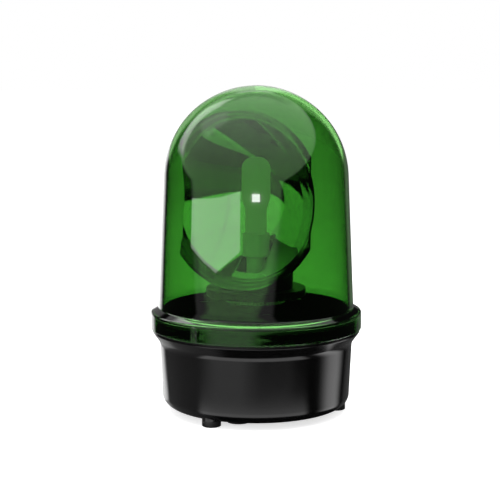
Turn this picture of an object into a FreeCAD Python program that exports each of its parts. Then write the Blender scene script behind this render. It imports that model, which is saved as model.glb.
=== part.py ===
import FreeCAD, Part
import math
import os
import re

import Sketcher
from FreeCAD import Placement, Rotation, Vector

# Driving dimensions in millimetres and degrees.
# Angles run from the front of the beacon towards its right side.
SIZES = {
    # feet and their threaded inserts
    "foot_count": 3,
    "foot_angle": -32.0,
    "foot_inset": 8.2,
    "foot_radius": 6.2,
    "foot_height": 4.2,
    "bolt_hole_radius": 2.5,
    "insert_radius": 3.6,
    "insert_length": 10.0,
    "insert_cover": 2.0,
    # moulded base housing
    "base_draft": 2.1,
    "base_corner": 7.9,
    "floor_thickness": 3.2,
    "wall_thickness": 3.9,
    "flare_reach": 5.1,
    "neck_rise": 43.7,
    "flare_height": 7.0,
    "flare_radius": 7.5,
    "flange_inset": 1.0,
    "flange_thickness": 1.8,
    "rim_wall": 4.5,
    "rim_height": 7.3,
    "shelf_rise": 1.3,
    "shelf_width": 1.3,
    # bayonet between base and cap
    "ramp_angle": 60.0,
    "ramp_span": 22.0,
    "ramp_height": 1.8,
    "ramp_rise": 3.3,
    "lug_span": 15.4,
    "lug_height": 1.9,
    "lug_rise": 0.8,
    "stop_span": 3.0,
    "cap_gap": 0.3,
    "root_depth": 0.6,
    # transparent cap
    "bayonet_depth": 1.6,
    "cap_wall": 2.8,
    "skirt_height": 11.4,
    "ridge_round": 1.6,
    "shoulder_height": 2.8,
    "shoulder_width": 5.3,
    "dome_straight": 85.9,
    "dome_draft": 3.9,
    "ceiling_drop": 2.0,
    "mark_angle": -34.0,
    "mark_span": 2.2,
    "mark_height": 0.7,
    "mark_margin": 0.6,
    # gasket under the cap
    "gasket_height": 2.2,
    "gasket_width": 3.6,
    # deck that closes the base
    "deck_radius": 61.8,
    "deck_clearance": 0.3,
    "deck_skirt": 2.0,
    "deck_height": 14.0,
    "deck_thickness": 3.0,
    "deck_chamfer": 0.8,
    "deck_hub_radius": 8.0,
    "deck_hub_depth": 9.0,
    # pillars and screws that hold the deck
    "pillar_pitch": 38.0,
    "pillar_angle": 10.0,
    "pillar_radius": 4.5,
    "deck_boss_radius": 6.4,
    "deck_boss_depth": 3.0,
    "deck_screw_radius": 2.0,
    "deck_screw_length": 16.0,
    "deck_head_radius": 3.6,
    "deck_head_height": 2.2,
    "deck_recess_radius": 4.4,
    "deck_recess_depth": 2.8,
    # hollow spindle, its nut and its rings
    "spindle_radius": 4.0,
    "spindle_bore": 2.5,
    "spindle_collar_radius": 6.5,
    "spindle_collar": 1.0,
    "nut_width": 14.0,
    "nut_height": 5.0,
    "thread_end": 2.0,
    "washer_radius": 7.6,
    "washer_thickness": 0.8,
    "clip_radius": 6.8,
    "clip_thickness": 1.0,
    "clip_groove": 0.5,
    "axial_play": 0.1,
    "running_clearance": 0.05,
    # turntable
    "hub_radius": 9.0,
    "hub_length": 17.3,
    "bush_radius": 6.0,
    "bush_length": 6.0,
    "hub_relief": 0.8,
    "disc_radius": 33.5,
    "disc_height": 5.0,
    "disc_plate": 2.5,
    "disc_rim": 2.0,
    "disc_lift": 0.4,
    "pedestal_radius": 25.0,
    "pedestal_wall": 2.5,
    "pedestal_height": 28.0,
    # drive gear and pinion
    "gear_module": 0.8,
    "gear_teeth": 48,
    "pinion_teeth": 16,
    "pressure_angle": 20.0,
    "tooth_backlash": 0.16,
    "gear_width": 4.4,
    "gear_lift": 0.3,
    "gear_web": 2.6,
    "gear_rim": 2.2,
    "pinion_overhang": 0.2,
    "gear_screw_pitch": 13.0,
    "gear_screw_radius": 1.25,
    "gear_head_radius": 2.2,
    "gear_head_height": 1.4,
    "gear_post_radius": 2.8,
    # motor under the deck
    "motor_angle": 187.5,
    "motor_radius": 12.0,
    "motor_length": 28.0,
    "motor_chamfer": 1.0,
    "motor_boss_radius": 3.5,
    "motor_boss_height": 1.5,
    "motor_boss_gap": 0.3,
    "motor_end_radius": 4.0,
    "motor_end_height": 1.5,
    "motor_shaft_radius": 1.5,
    "motor_shaft_depth": 22.0,
    "motor_screw_offset": 8.6,
    "motor_screw_radius": 1.25,
    "motor_screw_length": 6.5,
    "motor_head_radius": 2.2,
    "motor_head_height": 1.3,
    # lamp holder and lamp board
    "holder_gap": 0.7,
    "holder_neck_radius": 6.3,
    "holder_neck": 11.8,
    "holder_radius": 9.1,
    "holder_height": 15.6,
    "holder_wall": 1.4,
    "holder_floor": 4.0,
    "holder_chamfer": 0.8,
    "spindle_socket": 10.0,
    "focus_rise": 23.6,
    "board_thickness": 1.6,
    "board_foot": 14.4,
    "board_width": 19.2,
    "board_top_rise": 27.5,
    "board_waist_drop": 7.0,
    "board_shoulder_drop": 0.5,
    "board_round": 8.0,
    "chip_width": 5.0,
    "chip_thickness": 0.9,
    "clip_spacing": 10.2,
    "board_clip_width": 1.7,
    "board_clip_rise": 1.6,
    "led_wire_radius": 0.6,
    "led_wire_spacing": 2.4,
    # parabolic reflector
    "rest_yaw": 32.0,
    "focal_length": 19.5,
    "mirror_wall": 2.2,
    "aperture_radius": 52.7,
    "step_radius": 56.3,
    "step_depth": 4.6,
    "flange_wall": 1.5,
    "mirror_rim_radius": 59.5,
    "lip_depth": 3.6,
    "lip_wall": 1.0,
    "sweep_gap": 7.2,
    "mirror_cut_rise": 58.6,
    "window_width": 19.6,
    "window_front": 11.5,
    "window_back": 10.6,
    "window_round": 1.0,
    "leg_pitch": 17.4,
    "leg_radius": 3.6,
    "leg_screw_radius": 1.5,
    "leg_screw_length": 9.0,
    "leg_head_radius": 2.7,
    "leg_head_height": 1.5,
    # control board on the floor
    "circuit_radius": 32.5,
    "circuit_thickness": 1.6,
    "standoff_height": 5.0,
    "standoff_radius": 3.2,
    "standoff_pitch": 28.0,
    "standoff_angle": 40.0,
    "circuit_screw_radius": 1.5,
    "circuit_screw_length": 6.0,
    "circuit_head_radius": 2.7,
    "circuit_head_height": 1.8,
    "header_length": 8.0,
    "header_width": 5.0,
    "header_height": 6.0,
    "motor_wire_radius": 0.6,
    "motor_wire_spacing": 3.0,
    "terminal_length": 15.2,
    "terminal_depth": 8.0,
    "terminal_height": 10.0,
    "terminal_pitch": 19.0,
    "terminal_angle": -16.0,
    "terminal_ways": 3,
    "terminal_screw_radius": 1.5,
    "capacitor_radius": 5.0,
    "capacitor_height": 12.5,
    "capacitor_pitch": 19.0,
    "capacitor_angle": 80.0,
    "capacitor_spread": 36.0,
    "chip_length": 9.0,
    "chip_depth": 6.0,
    "chip_height": 1.8,
    "driver_pitch": 18.0,
    "driver_angle": 250.0,
    # cable grommet in the floor
    "cable_angle": -16.0,
    "cable_pitch": 41.5,
    "grommet_hole_radius": 5.6,
    "grommet_radius": 7.6,
    "grommet_drop": 3.0,
    "grommet_inner": 2.0,
    "cable_bore_radius": 3.25,
}

# Heights and radii that follow from the driving dimensions
DERIVED = {
    "underside": "foot_height",
    "floor_top": "underside + floor_thickness",
    "neck_level": "underside + neck_rise",
    "flange_low": "neck_level + flare_height",
    "flange_top": "flange_low + flange_thickness",
    "shelf_level": "flange_top + shelf_rise",
    "rim_top": "flange_top + rim_height",
    "seat_radius": "deck_radius + deck_clearance",
    "rim_radius": "seat_radius + rim_wall",
    "skirt_inner": "rim_radius + bayonet_depth",
    "skirt_radius": "skirt_inner + cap_wall",
    "flange_radius": "skirt_radius - flange_inset",
    "neck_radius": "flange_radius - flare_reach",
    "base_radius": "neck_radius - base_draft",
    "foot_pitch": "base_radius - foot_inset",
    "dome_foot_radius": "skirt_radius - shoulder_width",
    "dome_radius": "dome_foot_radius - dome_draft",
    "sweep_radius": "dome_radius - cap_wall - sweep_gap",
    "cavity_radius": "deck_radius - shelf_width",
    "cavity_foot_radius": "base_radius - wall_thickness",
    "insert_top": "underside + insert_length",
    "skirt_low": "flange_top + cap_gap",
    "ridge_level": "skirt_low + skirt_height",
    "dome_foot": "ridge_level + shoulder_height",
    "dome_spring": "dome_foot + dome_straight",
    "ceiling_level": "ridge_level - ceiling_drop",
    "ramp_low": "flange_top + ramp_rise",
    "ramp_top": "ramp_low + ramp_height",
    "ramp_radius": "skirt_inner - cap_gap",
    "lug_low": "skirt_low + lug_rise",
    "lug_radius": "rim_radius + cap_gap",
    "deck_top": "shelf_level + deck_height",
    "deck_under": "deck_top - deck_thickness",
    "pillar_top": "deck_under - deck_boss_depth",
    "deck_hub_low": "deck_under - deck_hub_depth",
    "recess_floor": "deck_top - deck_recess_depth",
    "collar_top": "deck_top + spindle_collar",
    "washer_top": "collar_top + washer_thickness",
    "hub_low": "washer_top + axial_play",
    "gear_low": "hub_low + gear_lift",
    "gear_top": "gear_low + gear_width",
    "web_low": "gear_top - gear_web",
    "disc_low": "gear_top + disc_lift",
    "disc_top": "disc_low + disc_height",
    "plate_low": "disc_top - disc_plate",
    "pedestal_top": "disc_top + pedestal_height",
    "hub_top": "hub_low + hub_length",
    "clip_low": "hub_top + axial_play",
    "clip_top": "clip_low + clip_thickness",
    "holder_low": "clip_top + holder_gap",
    "socket_top": "holder_low + spindle_socket",
    "holder_step": "holder_low + holder_neck",
    "holder_bed": "holder_step + holder_floor",
    "holder_top": "holder_step + holder_height",
    "focus_level": "holder_top + focus_rise",
    "mirror_top": "focus_level + mirror_cut_rise",
    "gear_pitch_radius": "gear_module * gear_teeth / 2",
    "pinion_pitch_radius": "gear_module * pinion_teeth / 2",
    "motor_pitch": "gear_pitch_radius + pinion_pitch_radius",
    "pinion_low": "gear_low - pinion_overhang",
    "pinion_top": "gear_top + pinion_overhang",
    "motor_low": "deck_under - motor_length",
    "aperture_depth": "aperture_radius ^ 2 / (4 * focal_length) - focal_length",
    "step_front": "aperture_depth + step_depth",
    "rim_front": "step_front + lip_depth",
    "flange_back": "aperture_depth - flange_wall",
    "shell_radius": "sqrt(4 * focal_length * (flange_back + focal_length + mirror_wall))",
    "standoff_top": "floor_top + standoff_height",
    "circuit_top": "standoff_top + circuit_thickness",
    "header_top": "circuit_top + header_height",
}

doc = FreeCAD.newDocument("rotating_beacon")
sheet = doc.addObject("Spreadsheet::Sheet", "Sizes")
for row, (alias, number) in enumerate(SIZES.items(), start=1):
    sheet.set(f"A{row}", alias)
    sheet.set(f"B{row}", str(number))
    sheet.setAlias(f"B{row}", alias)
doc.recompute()

nodes = []


def tie(text):
    """Turn plain size names into an expression that reads the sheet."""

    def swap(match):
        word = match.group()
        if word in DERIVED:
            return "(" + tie(DERIVED[word]) + ")"
        if word in SIZES:
            return "Sizes." + word
        return word

    return re.sub(r"[a-z_]+", swap, str(text))


def size(text):
    """The present value of an expression in size names."""
    return float(sheet.evalExpression(tie(text)))


def bind(owner, path, text):
    """Bind one property of an object to an expression in size names."""
    owner.setExpression(path, tie(text))


def body(label):
    """An empty body whose label is the name of the finished sub-part."""
    made = doc.addObject("PartDesign::Body", label)
    made.Label = label
    nodes.append(made)
    return made


def origin_plane(owner, role):
    """The origin plane or axis of a body, found by its role."""
    for feature in owner.Origin.OriginFeatures:
        if feature.Role == role:
            return feature
    raise ValueError(role)


def sketch_on(owner, role, turn="0", level="0"):
    """A sketch on an origin plane, turned about the vertical and raised to a level."""
    sketch = owner.newObject("Sketcher::SketchObject", owner.Label + "_sketch")
    sketch.AttachmentSupport = [(origin_plane(owner, role), "")]
    sketch.MapMode = "FlatFace"
    upright = role == "XZ_Plane"
    axis = Vector(0, 1, 0) if upright else Vector(0, 0, 1)
    sketch.AttachmentOffset = Placement(Vector(0, 0, 0), Rotation(axis, 1))
    bind(sketch, "AttachmentOffset.Rotation.Angle", turn + " - 90" if upright else turn)
    bind(sketch, "AttachmentOffset.Base." + ("y" if upright else "z"), level)
    return sketch


def fix_point(sketch, geometry, place, x=None, y=None):
    """Dimension a point from the sketch origin, or put it on an axis where the size is zero."""
    for kind, axis, text in (("DistanceX", -2, x), ("DistanceY", -1, y)):
        if text is None:
            continue
        if str(text) == "0":
            sketch.addConstraint(Sketcher.Constraint("PointOnObject", geometry, place, axis))
            continue
        number = sketch.addConstraint(
            Sketcher.Constraint(kind, -1, 1, geometry, place, size(text)))
        bind(sketch, f"Constraints[{number}]", text)


def circle(sketch, radius, x="0", y="0"):
    """A circle with its radius and centre bound to sizes."""
    centre = Vector(size(x), size(y), 0)
    number = sketch.addGeometry(Part.Circle(centre, Vector(0, 0, 1), size(radius)))
    if str(x) == "0" and str(y) == "0":
        sketch.addConstraint(Sketcher.Constraint("Coincident", number, 3, -1, 1))
    else:
        fix_point(sketch, number, 3, x, y)
    limit = sketch.addConstraint(Sketcher.Constraint("Radius", number, size(radius)))
    bind(sketch, f"Constraints[{limit}]", radius)


def arc_through(first, middle, last):
    """An arc through three points, listed so that it always turns to the left."""
    turn = (middle - first).cross(last - middle).z
    return Part.Arc(first, middle, last) if turn > 0 else Part.Arc(last, middle, first)


def outline(sketch, corners):
    """A closed outline through corners.

    A corner is (x, y), or (x, y, radius) where it is rounded, or ("arc", cx, cy, x, y)
    where an arc about (cx, cy) arrives from the corner before; one of its x and y is None.
    """
    count = len(corners)
    places = []
    for corner in corners:
        if corner[0] == "arc":
            centre = Vector(size(corner[1]), size(corner[2]), 0)
            radius = (places[-1] - centre).Length
            if corner[3] is None:
                height = size(corner[4]) - centre.y
                places.append(centre + Vector(math.sqrt(radius ** 2 - height ** 2), height, 0))
            else:
                width = size(corner[3]) - centre.x
                places.append(centre + Vector(width, math.sqrt(radius ** 2 - width ** 2), 0))
        else:
            places.append(Vector(size(corner[0]), size(corner[1]), 0))
    starts = list(places)
    ends = list(places)
    rounds = {}
    for index, corner in enumerate(corners):
        if corner[0] == "arc" or len(corner) < 3:
            continue
        here = places[index]
        back = (places[index - 1] - here).normalize()
        ahead = (places[(index + 1) % count] - here).normalize()
        half = back.getAngle(ahead) / 2
        radius = size(corner[2])
        reach = radius / math.tan(half)
        ends[index] = here + back * reach
        starts[index] = here + ahead * reach
        middle = here + (back + ahead).normalize() * (radius / math.sin(half) - radius)
        rounds[index] = (ends[index], middle, starts[index])
    sides = []
    for index in range(count):
        after = (index + 1) % count
        if corners[after][0] == "arc":
            centre = Vector(size(corners[after][1]), size(corners[after][2]), 0)
            bisector = (starts[index] + ends[after]) / 2 - centre
            middle = centre + bisector.normalize() * (starts[index] - centre).Length
            edge = arc_through(starts[index], middle, ends[after])
        else:
            edge = Part.LineSegment(starts[index], ends[after])
        sides.append(sketch.addGeometry(edge))
    for index, corner in enumerate(corners):
        before = sides[index - 1]
        after = sides[index]
        first = far_end(sketch, before, ends[index])
        second = far_end(sketch, after, starts[index])
        if index in rounds:
            arc = sketch.addGeometry(arc_through(*rounds[index]))
            radius = sketch.addConstraint(Sketcher.Constraint("Radius", arc, size(corner[2])))
            bind(sketch, f"Constraints[{radius}]", corner[2])
            for side, place, spot in ((before, first, ends[index]), (after, second, starts[index])):
                tip = far_end(sketch, arc, spot)
                sketch.addConstraint(Sketcher.Constraint("Tangent", side, place, arc, tip))
            point = sketch.addGeometry(Part.Point(places[index]), True)
            fix_point(sketch, point, 1, corner[0], corner[1])
            sketch.addConstraint(Sketcher.Constraint("PointOnObject", point, 1, before))
            sketch.addConstraint(Sketcher.Constraint("PointOnObject", point, 1, after))
        else:
            sketch.addConstraint(Sketcher.Constraint("Coincident", before, first, after, second))
            if corner[0] == "arc":
                fix_point(sketch, before, 3, corner[1], corner[2])
                fix_point(sketch, before, first, corner[3], corner[4])
            else:
                fix_point(sketch, after, second, corner[0], corner[1])


def far_end(sketch, geometry, spot):
    """Which end of an edge, 1 or 2, lies at a spot."""
    edge = sketch.Geometry[geometry]
    return 1 if edge.StartPoint.distanceToPoint(spot) < edge.EndPoint.distanceToPoint(spot) else 2


def feature(owner, kind, sketch, **texts):
    """A feature on a sketch, with its sizes bound; the body has to change in volume."""
    before = 0 if owner.Shape.isNull() else owner.Shape.Volume
    made = owner.newObject("PartDesign::" + kind, owner.Label + "_" + kind.lower())
    made.Profile = sketch
    if kind in ("Revolution", "Groove"):
        made.ReferenceAxis = (sketch, [texts.pop("axis", "V_Axis")])
        made.Angle = 360
        if "span" in texts:
            bind(made, "Angle", texts.pop("span"))
            made.Midplane = True
    if "length" in texts:
        bind(made, "Length", texts.pop("length"))
    made.Reversed = texts.pop("reverse", False)
    if texts.pop("both_ways", False):
        made.Midplane = True
    doc.recompute()
    if abs(owner.Shape.Volume - before) < 1e-3:
        raise RuntimeError(made.Name + " changes nothing")
    return made


def revolve(owner, corners, turn="0", span=None):
    """Turn an upright outline about the vertical axis, all round or over a span."""
    sketch = sketch_on(owner, "XZ_Plane", turn)
    outline(sketch, corners)
    texts = {} if span is None else {"span": span}
    return feature(owner, "Revolution", sketch, **texts)


def ring_of(owner, made, count="3"):
    """Repeat a feature evenly about the vertical axis."""
    pattern = owner.newObject("PartDesign::PolarPattern", owner.Label + "_pattern")
    pattern.Originals = [made]
    pattern.Axis = (origin_plane(owner, "Z_Axis"), [""])
    pattern.Angle = 360
    bind(pattern, "Occurrences", count)
    owner.Tip = pattern
    doc.recompute()
    return pattern


def post(owner, radius, pitch, turn, low, high, count="3"):
    """Round posts on a pitch circle, from one level up to another."""
    sketch = sketch_on(owner, "XY_Plane", turn, low)
    circle(sketch, radius, "0", "-(" + pitch + ")")
    ring_of(owner, feature(owner, "Pad", sketch, length=f"({high}) - ({low})"), count)


def drill(owner, radius, pitch, turn, low, high, count="3"):
    """Round holes on a pitch circle, from one level up to another."""
    sketch = sketch_on(owner, "XY_Plane", turn, low)
    circle(sketch, radius, "0", "-(" + pitch + ")")
    ring_of(owner, feature(owner, "Pocket", sketch, length=f"({high}) - ({low})", reverse=True), count)


def place(owner, pitch, turn, level="0"):
    """Put an object on a pitch circle at an angle from the front, turned with it."""
    owner.Placement = Placement(Vector(0, 0, 0), Rotation(Vector(0, 0, 1), 1))
    bind(owner, "Placement.Base.x", f"({pitch}) * sin({turn})")
    bind(owner, "Placement.Base.y", f"-({pitch}) * cos({turn})")
    bind(owner, "Placement.Base.z", level)
    bind(owner, "Placement.Rotation.Angle", turn)


def gather(label, members):
    """Several solids held together as one object."""
    made = doc.addObject("Part::Compound", label)
    made.Label = label
    made.Links = members
    return made


def group(label, members):
    """Several like solids that share the name of one finished sub-part."""
    made = gather(label, members)
    nodes.append(made)
    return made


def cylinder(name, radius, height, low="0"):
    """A cylinder on the vertical axis, standing on a level."""
    made = doc.addObject("Part::Cylinder", name)
    bind(made, "Radius", radius)
    bind(made, "Height", height)
    bind(made, "Placement.Base.z", low)
    return made


def box(name, length, width, height, low="0", x="0", y="0"):
    """A box centred on a point in plan, standing on a level."""
    made = doc.addObject("Part::Box", name)
    bind(made, "Length", length)
    bind(made, "Width", width)
    bind(made, "Height", height)
    bind(made, "Placement.Base.x", f"({x}) - ({length}) / 2")
    bind(made, "Placement.Base.y", f"({y}) - ({width}) / 2")
    bind(made, "Placement.Base.z", low)
    return made


def join(name, kind, base, tool):
    """A boolean of two objects."""
    made = doc.addObject("Part::" + kind, name)
    made.Base = base
    made.Tool = tool
    return made


def screw(name, prefix, length, down=True):
    """A slotted cheese-head screw whose head sits at z = 0 and whose shank runs away from it."""
    head_radius = prefix + "_head_radius"
    head_height = prefix + "_head_height"
    sign = "-" if down else ""
    head = cylinder(name + "_head", head_radius, head_height, "0" if down else "-" + head_height)
    shank = cylinder(name + "_shank", prefix + "_screw_radius", length, sign + length if down else "0")
    solid = join(name + "_blank", "Fuse", head, shank)
    floor = head_height + " / 2" if down else "-" + head_height
    slot = box(name + "_slot", "3 * " + head_radius, head_radius + " / 4", head_height + " / 2", floor)
    return join(name, "Cut", solid, slot)


def screw_ring(label, prefix, length, pitch, turn, level, count=3, down=True):
    """Like screws on a pitch circle, grouped under one name."""
    members = []
    for index in range(count):
        one = screw(f"{label}_{index}", prefix, length, down)
        place(one, pitch, f"{turn} + {index} * 360 / {count}", level)
        members.append(one)
    return group(label, members)


def bowl_outline(sketch, vertex, edge_radius, corners):
    """An outline under a parabola that opens forward from its vertex on the mirror's axis.

    A spline of degree two with three poles is exactly a parabola: its middle pole stands
    over the vertex at half the height of the end, which lies at edge_radius.
    corners (x, radius) lead from there back to the axis.
    """
    poles = [
        (vertex, "focus_level"),
        (vertex, f"focus_level + {edge_radius} / 2"),
        (f"{edge_radius} ^ 2 / (4 * focal_length) + ({vertex})", f"focus_level + {edge_radius}")]
    tips = [Vector(size(x), size(y), 0) for x, y in poles]
    curve = sketch.addGeometry(Part.BSplineCurve(tips, None, None, False, 2, None, False))
    sketch.exposeInternalGeometry(curve)
    for index, (x, y) in enumerate(poles):
        fix_point(sketch, curve + 1 + index, 3, x, y)
    axis = sketch.addGeometry(Part.LineSegment(tips[0], Vector(0, tips[0].y, 0)), True)
    sketch.addConstraint(Sketcher.Constraint("Coincident", axis, 1, curve, 1))
    sketch.addConstraint(Sketcher.Constraint("Horizontal", axis))
    fix_point(sketch, axis, 2, "0")
    spots = [tips[2]]
    spots += [Vector(size(x), tips[0].y + size(radius), 0) for x, radius in corners]
    spots.append(tips[0])
    lines = [sketch.addGeometry(Part.LineSegment(a, b)) for a, b in zip(spots, spots[1:])]
    sketch.addConstraint(Sketcher.Constraint("Coincident", curve, 2, lines[0], 1))
    for before, after in zip(lines, lines[1:]):
        sketch.addConstraint(Sketcher.Constraint("Coincident", before, 2, after, 1))
    sketch.addConstraint(Sketcher.Constraint("Coincident", lines[-1], 2, curve, 1))
    for line, (x, radius) in zip(lines, corners):
        fix_point(sketch, line, 2, x, f"focus_level + {radius}")


def bowl(owner, kind, outer, front):
    """Revolve or groove the mirror's outer or inner form about its level axis."""
    sketch = sketch_on(owner, "XZ_Plane", "-rest_yaw")
    if outer:
        bowl_outline(sketch, "-(focal_length + mirror_wall)", "shell_radius", [
            ("flange_back", "step_radius + flange_wall"),
            ("step_front - flange_wall", "step_radius + flange_wall"),
            ("step_front - flange_wall", "mirror_rim_radius"),
            (front, "mirror_rim_radius"),
            (front, "0")])
    else:
        bowl_outline(sketch, "-focal_length", "aperture_radius", [
            ("aperture_depth", "step_radius"),
            ("step_front", "step_radius"),
            ("step_front", "mirror_rim_radius - lip_wall"),
            (front, "mirror_rim_radius - lip_wall"),
            (front, "0")])
    return feature(owner, kind, sketch, axis="Axis0")


def base_housing():
    """The moulded base: a drafted pot with a flared flange, a rim for the cap and inside posts."""
    part = body("base_housing")
    revolve(part, [
        ("0", "underside"),
        ("base_radius", "underside", "base_corner"),
        ("neck_radius", "neck_level", "flare_radius"),
        ("flange_radius", "flange_low"),
        ("flange_radius", "flange_top"),
        ("rim_radius", "flange_top"),
        ("rim_radius", "rim_top"),
        ("seat_radius", "rim_top"),
        ("seat_radius", "shelf_level"),
        ("cavity_radius", "shelf_level"),
        ("cavity_foot_radius", "floor_top"),
        ("0", "floor_top")])
    post(part, "foot_radius", "foot_pitch", "foot_angle", "underside", "insert_top + insert_cover",
         "foot_count")
    post(part, "pillar_radius", "pillar_pitch", "pillar_angle", "floor_top", "pillar_top")
    post(part, "standoff_radius", "standoff_pitch", "standoff_angle", "floor_top", "standoff_top")
    for low, high, centre, span in (
            ("ramp_low", "ramp_top", "ramp_angle", "ramp_span"),
            ("flange_top", "ramp_top", "ramp_angle - (ramp_span - stop_span) / 2", "stop_span")):
        ring_of(part, revolve(part, [
            ("rim_radius - root_depth", low),
            ("ramp_radius", low),
            ("ramp_radius", high),
            ("rim_radius - root_depth", high)], centre, span))
    drill(part, "insert_radius", "foot_pitch", "foot_angle", "underside", "insert_top", "foot_count")
    drill(part, "deck_screw_radius", "pillar_pitch", "pillar_angle",
          "recess_floor - deck_screw_length - thread_end", "pillar_top")
    drill(part, "circuit_screw_radius", "standoff_pitch", "standoff_angle",
          "circuit_top - circuit_screw_length", "standoff_top")
    hole = sketch_on(part, "XY_Plane", "cable_angle", "underside")
    circle(hole, "grommet_hole_radius", "0", "-cable_pitch")
    feature(part, "Pocket", hole, length="floor_thickness", reverse=True)


def feet_and_inserts():
    """Rubber feet under the base, with threaded brass inserts moulded in above them."""
    for label, radius, low, length in (
            ("mounting_feet", "foot_radius", "0", "foot_height"),
            ("foot_inserts", "insert_radius", "underside", "insert_length")):
        members = []
        for index in range(int(size("foot_count"))):
            outer = cylinder(f"{label}_outer_{index}", radius, length)
            bore = cylinder(f"{label}_bore_{index}", "bolt_hole_radius", length)
            ring = join(f"{label}_{index}", "Cut", outer, bore)
            place(ring, "foot_pitch", f"foot_angle + {index} * 360 / foot_count", low)
            members.append(ring)
        group(label, members)


def cable_grommet():
    """Rubber grommet that grips the floor where the supply cable enters."""
    part = body("cable_grommet")
    revolve(part, [
        ("cable_bore_radius", "-grommet_drop"),
        ("grommet_radius", "-grommet_drop"),
        ("grommet_radius", "0"),
        ("grommet_hole_radius", "0"),
        ("grommet_hole_radius", "floor_thickness"),
        ("grommet_radius", "floor_thickness"),
        ("grommet_radius", "floor_thickness + grommet_inner"),
        ("cable_bore_radius", "floor_thickness + grommet_inner")])
    place(part, "cable_pitch", "cable_angle", "underside")


def cap():
    """Transparent cap: a skirt with inside lugs, a sloping shoulder and a tall dome."""
    part = body("dome_cap")
    inner = "dome_radius - cap_wall"
    revolve(part, [
        ("skirt_inner", "skirt_low"),
        ("skirt_radius", "skirt_low"),
        ("skirt_radius", "ridge_level", "ridge_round"),
        ("dome_foot_radius", "dome_foot"),
        ("dome_radius", "dome_spring"),
        ("arc", "0", "dome_spring", "0", None),
        ("0", f"dome_spring + {inner}"),
        ("arc", "0", "dome_spring", None, "dome_spring"),
        ("dome_foot_radius - cap_wall", "ceiling_level"),
        ("skirt_inner", "ceiling_level")])
    ring_of(part, revolve(part, [
        ("lug_radius", "lug_low"),
        ("skirt_inner + root_depth", "lug_low"),
        ("skirt_inner + root_depth", "lug_low + lug_height"),
        ("lug_radius", "lug_low + lug_height")], "ramp_angle", "lug_span"))
    revolve(part, [
        ("skirt_radius - mark_height", "skirt_low + mark_margin"),
        ("skirt_radius + mark_height", "skirt_low + mark_margin"),
        ("skirt_radius + mark_height", "ridge_level - ridge_round"),
        ("skirt_radius - mark_height", "ridge_level - ridge_round")], "mark_angle", "mark_span")


def gasket():
    """Flat seal that the cap presses on the rim of the base."""
    part = body("cap_gasket")
    revolve(part, [
        ("rim_radius - gasket_width", "rim_top"),
        ("rim_radius - cap_gap", "rim_top"),
        ("rim_radius - cap_gap", "rim_top + gasket_height"),
        ("rim_radius - gasket_width", "rim_top + gasket_height")])


def deck():
    """Cover of the base that carries the spindle above and the motor below."""
    part = body("deck_plate")
    revolve(part, [
        ("spindle_radius", "deck_hub_low"),
        ("deck_hub_radius", "deck_hub_low"),
        ("deck_hub_radius", "deck_under"),
        ("deck_radius - deck_skirt", "deck_under"),
        ("deck_radius - deck_skirt", "shelf_level"),
        ("deck_radius", "shelf_level"),
        ("deck_radius", "deck_top - deck_chamfer"),
        ("deck_radius - deck_chamfer", "deck_top"),
        ("spindle_radius", "deck_top")])
    post(part, "deck_boss_radius", "pillar_pitch", "pillar_angle", "pillar_top", "deck_under")
    drill(part, "deck_recess_radius", "pillar_pitch", "pillar_angle", "recess_floor", "deck_top")
    drill(part, "deck_screw_radius", "pillar_pitch", "pillar_angle", "pillar_top", "recess_floor")
    holes = sketch_on(part, "XY_Plane", "motor_angle", "deck_under")
    circle(holes, "motor_boss_radius + motor_boss_gap", "0", "-motor_pitch")
    circle(holes, "motor_screw_radius", "motor_screw_offset", "-motor_pitch")
    circle(holes, "motor_screw_radius", "-motor_screw_offset", "-motor_pitch")
    feature(part, "Pocket", holes, length="deck_thickness", reverse=True)


def spindle():
    """Fixed hollow steel spindle, clamped to the deck by its collar and a nut below."""
    low = "deck_hub_low - nut_height - thread_end"
    part = body("spindle")
    revolve(part, [
        ("spindle_bore", low),
        ("spindle_radius", low),
        ("spindle_radius", "deck_top"),
        ("spindle_collar_radius", "deck_top"),
        ("spindle_collar_radius", "collar_top"),
        ("spindle_radius", "collar_top"),
        ("spindle_radius", "clip_low"),
        ("spindle_radius - clip_groove", "clip_low"),
        ("spindle_radius - clip_groove", "clip_top"),
        ("spindle_radius", "clip_top"),
        ("spindle_radius", "socket_top"),
        ("spindle_bore", "socket_top")])


def sleeve(label, outer, inner, low, length, corners=0):
    """A ring on the vertical axis, round or hexagonal outside."""
    if corners:
        blank = doc.addObject("Part::Prism", label + "_blank")
        blank.Polygon = corners
        bind(blank, "Circumradius", f"{outer} / cos(180 / {corners})")
        bind(blank, "Height", length)
        bind(blank, "Placement.Base.z", low)
    else:
        blank = cylinder(label + "_blank", outer, length, low)
    made = join(label, "Cut", blank, cylinder(label + "_bore", inner, length, low))
    return made


def spindle_rings():
    """Nut, thrust washer, retaining clip and the two sleeve bearings of the spindle."""
    bearing = "spindle_radius + running_clearance"
    nodes.append(sleeve("spindle_nut", "nut_width / 2", "spindle_radius",
                        "deck_hub_low - nut_height", "nut_height", 6))
    nodes.append(sleeve("thrust_washer", "washer_radius", bearing, "collar_top", "washer_thickness"))
    nodes.append(sleeve("lower_bush", "bush_radius", bearing, "hub_low", "bush_length"))
    nodes.append(sleeve("upper_bush", "bush_radius", bearing, "hub_top - bush_length", "bush_length"))
    ring = sleeve("clip_ring", "clip_radius", "spindle_radius - clip_groove", "clip_low",
                  "clip_thickness")
    mouth = box("clip_mouth", "spindle_radius", "2 * clip_radius", "clip_thickness", "clip_low",
                "0", "clip_radius")
    nodes.append(join("retaining_clip", "Cut", ring, mouth))


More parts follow.
